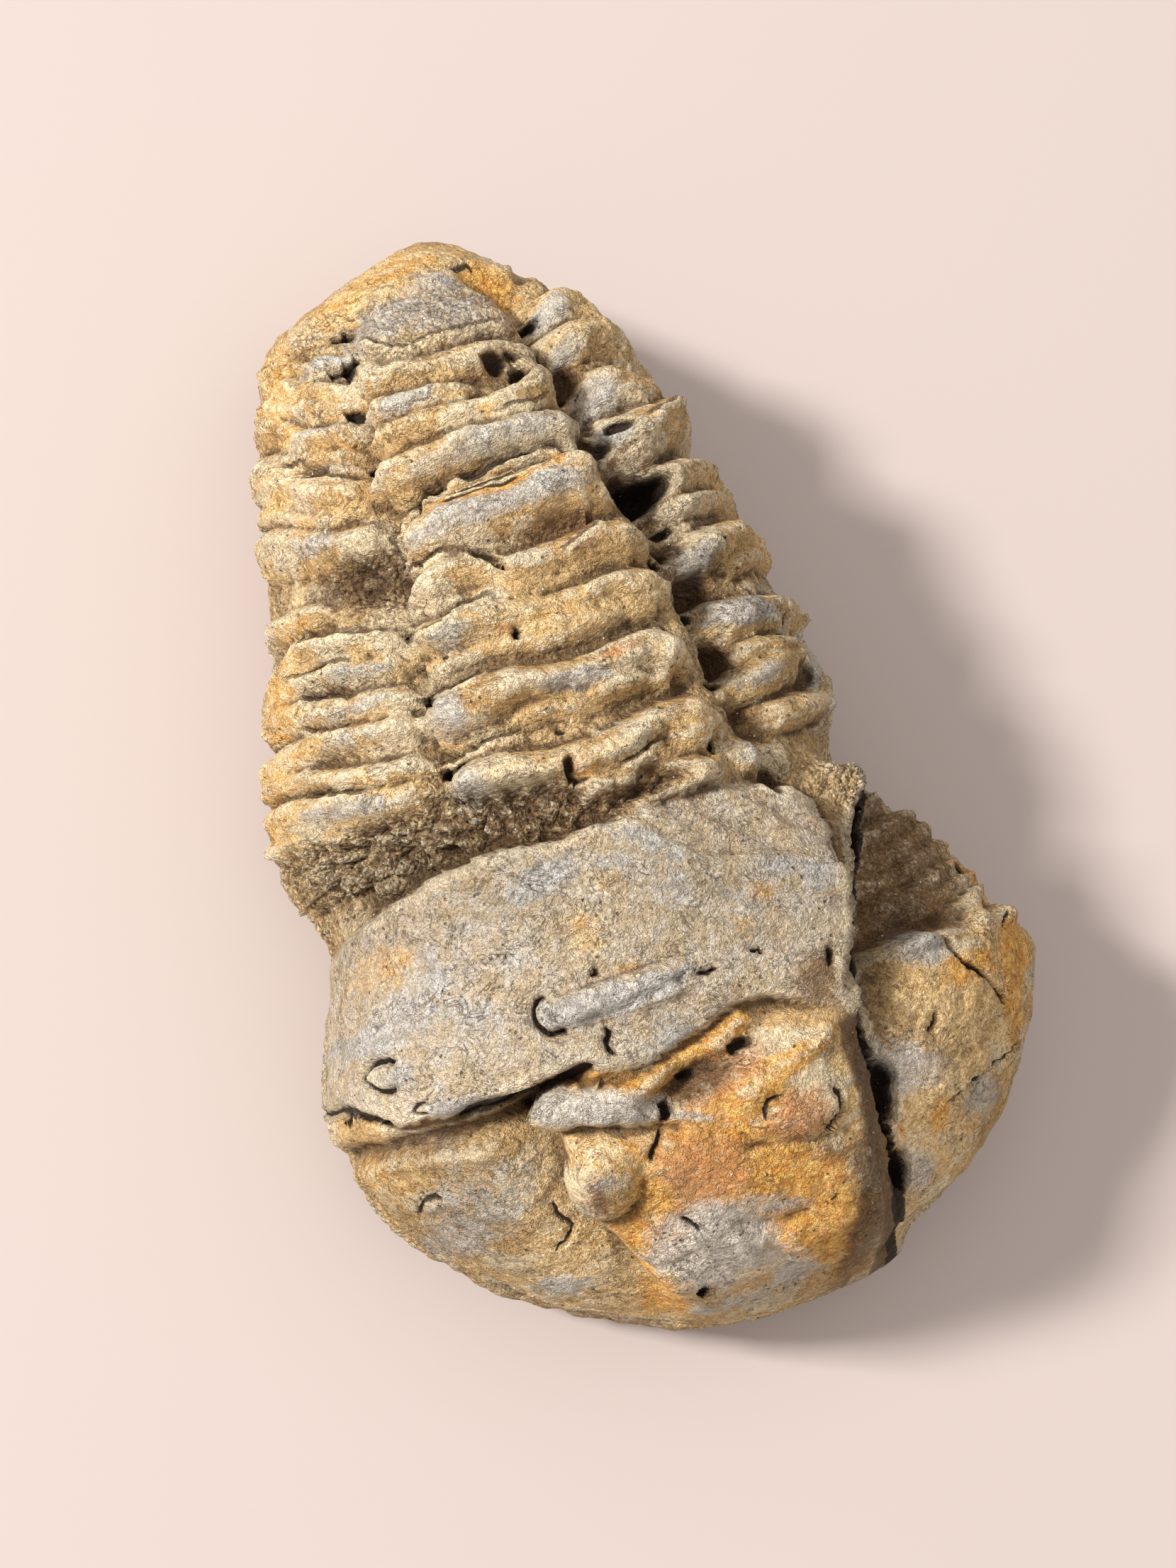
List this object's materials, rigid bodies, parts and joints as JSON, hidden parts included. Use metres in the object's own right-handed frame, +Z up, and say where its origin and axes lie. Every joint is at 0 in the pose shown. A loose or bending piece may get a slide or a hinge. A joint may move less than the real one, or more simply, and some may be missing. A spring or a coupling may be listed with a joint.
{
  "type": "fossil trilobite",
  "caption": "Weathered trilobite fossil in limestone, arched and ribbed on top, cracked along one side, with rough stone over its neck and a flat underside.",
  "frame": {"origin": "middle of the bounding box, on the flat underside", "axes": "+Z up out of the fossil's arched back, +Y along the body towards the tail, -Y towards the head, +X to the right when seen from above with the tail away"},
  "size_m": [0.0532, 0.0832, 0.0315],
  "materials": {
    "fossil_stone": "rough"
  },
  "bodies": {
    "root": {"trilobite": "fossil_stone"}
  },
  "joints": []
}
